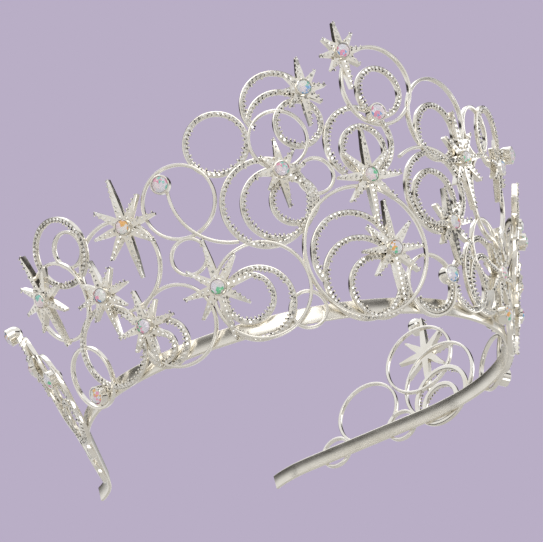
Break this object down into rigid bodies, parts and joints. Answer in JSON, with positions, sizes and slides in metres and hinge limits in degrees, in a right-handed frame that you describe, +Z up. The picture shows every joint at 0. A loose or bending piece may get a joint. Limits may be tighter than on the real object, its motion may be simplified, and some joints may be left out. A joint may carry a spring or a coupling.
{
  "type": "crown",
  "caption": "Open-backed silver crown of flat rings, crescent moons and eight-pointed stars set with crystals on a horseshoe head band.",
  "frame": {"origin": "centre of the bounding box seen from above, on the surface that the lowest rings stand on", "axes": "+Z up, -Y the wearer's front, +X the wearer's left"},
  "size_m": [0.1786, 0.169, 0.0903],
  "materials": {
    "band_metal": "polished rhodium plate",
    "polished_metal": "polished rhodium plate",
    "pave_metal": "rhodium plate set with small clear stones",
    "crystal": "faceted, iridescent coating"
  },
  "bodies": {
    "root": {"band": "band_metal", "bezel_crystals": "crystal", "bezel_cups": "polished_metal", "medium_rings": "polished_metal", "moon_front_1": "pave_metal", "moon_front_2": "pave_metal", "moon_front_3": "pave_metal", "moon_front_4": "pave_metal", "moon_front_5": "pave_metal", "moon_front_6": "pave_metal", "moon_front_7": "pave_metal", "moon_pair_1": "pave_metal", "moon_pair_2": "pave_metal", "pave_ring_front_1": "pave_metal", "pave_ring_front_2": "pave_metal", "pave_ring_front_3": "pave_metal", "pave_ring_front_4": "pave_metal", "pave_ring_front_5": "pave_metal", "pave_ring_front_6": "pave_metal", "pave_ring_front_7": "pave_metal", "pave_ring_front_8": "pave_metal", "pave_ring_pair_1": "pave_metal", "pave_ring_pair_2": "pave_metal", "plain_moon": "polished_metal", "ring_front_1": "polished_metal", "ring_front_2": "polished_metal", "ring_front_3": "polished_metal", "ring_front_4": "polished_metal", "ring_front_5": "polished_metal", "ring_front_6": "polished_metal", "ring_front_7": "polished_metal", "ring_front_8": "polished_metal", "ring_pair_1": "polished_metal", "ring_pair_2": "polished_metal", "ring_pair_3": "polished_metal", "ring_pair_4": "polished_metal", "ring_pair_5": "polished_metal", "ring_pair_6": "polished_metal", "small_rings": "polished_metal", "star_crystals": "crystal", "star_front_1": "pave_metal", "star_front_10": "pave_metal", "star_front_2": "pave_metal", "star_front_3": "pave_metal", "star_front_4": "pave_metal", "star_front_5": "pave_metal", "star_front_6": "pave_metal", "star_front_7": "pave_metal", "star_front_8": "pave_metal", "star_front_9": "pave_metal", "star_left_1": "pave_metal", "star_left_2": "pave_metal", "star_left_3": "pave_metal", "star_left_4": "pave_metal", "star_left_5": "pave_metal", "star_right_1": "pave_metal", "star_right_2": "pave_metal", "star_right_3": "pave_metal", "star_right_4": "pave_metal", "star_right_5": "pave_metal"}
  },
  "joints": []
}
